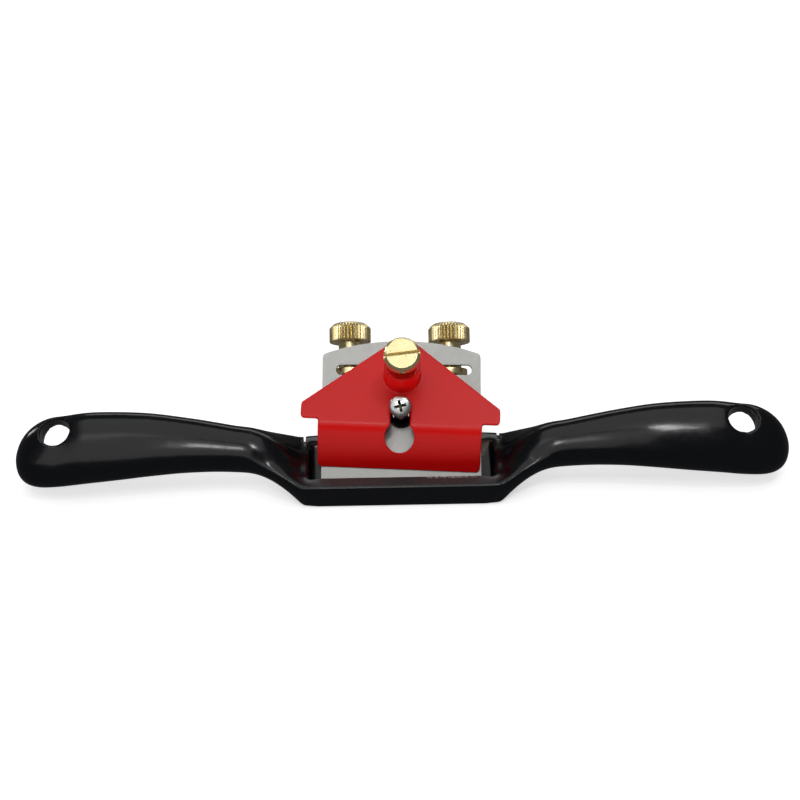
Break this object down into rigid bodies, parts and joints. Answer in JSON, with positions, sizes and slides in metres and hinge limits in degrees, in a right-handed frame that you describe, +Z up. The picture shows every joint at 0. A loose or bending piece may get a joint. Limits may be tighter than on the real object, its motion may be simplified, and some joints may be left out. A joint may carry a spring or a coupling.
{
  "type": "flat-sole spokeshave",
  "caption": "Metal spokeshave with drooping gull-wing handles, a flat sole, a tapered-back lever cap, a thumbscrew and a blade fed by knurled nuts.",
  "frame": {"origin": "on the sole's rear land, on the tool's middle plane", "axes": "+X along the handles to the right as the user faces the toe, +Y from the toe to the nuts, +Z up out of the sole"},
  "size_m": [0.2526, 0.0565, 0.0493],
  "materials": {
    "body_enamel": "glossy black enamel over cast iron, sole and bed left bare",
    "ground_steel": "finely ground, unpolished",
    "cap_enamel": "satin red enamel",
    "brass": "turned and knurled, light wear",
    "zinc_plate": "bright zinc plate",
    "stud_steel": "plain threaded rod"
  },
  "bodies": {
    "root": {"body_casting": "body_enamel", "left_adjuster_stud": "stud_steel", "right_adjuster_stud": "stud_steel", "cap_screw": "zinc_plate"},
    "blade": {"blade": "ground_steel"},
    "left_nut": {"left_adjuster_nut": "brass"},
    "right_nut": {"right_adjuster_nut": "brass"},
    "lever_cap": {"lever_cap": "cap_enamel"},
    "thumbscrew": {"cap_thumbscrew": "brass"}
  },
  "joints": [
    {"name": "blade_feed", "type": "slide", "parent": "root", "child": "blade", "axis": [0, 0.7071, 0.7071], "range_m": [-0.0018, 0.0024]},
    {"name": "left_nut_turn", "type": "hinge", "parent": "blade", "child": "left_nut", "pos_m": [-0.0167, 0.02311, 0.0247], "axis": [0, 0.7071, 0.7071], "range_deg": [-811, 1081]},
    {"name": "right_nut_turn", "type": "hinge", "parent": "blade", "child": "right_nut", "pos_m": [0.0167, 0.02262, 0.02421], "axis": [0, 0.7071, 0.7071], "range_deg": [-811, 1081]},
    {"name": "cap_slide", "type": "slide", "parent": "root", "child": "lever_cap", "axis": [0.0593, 0.7059, 0.7059], "range_m": [0, 0.0095]},
    {"name": "thumbscrew_turn", "type": "hinge", "parent": "lever_cap", "child": "thumbscrew", "pos_m": [0.00075, 0.01246, 0.03059], "axis": [0.0126, -0.5413, 0.8408], "range_deg": [-1890, 1890]}
  ],
  "couplings": [
    {"joint": "left_nut_turn", "follows": "blade_feed", "rad_per_m": 7854},
    {"joint": "right_nut_turn", "follows": "blade_feed", "rad_per_m": 7854}
  ]
}
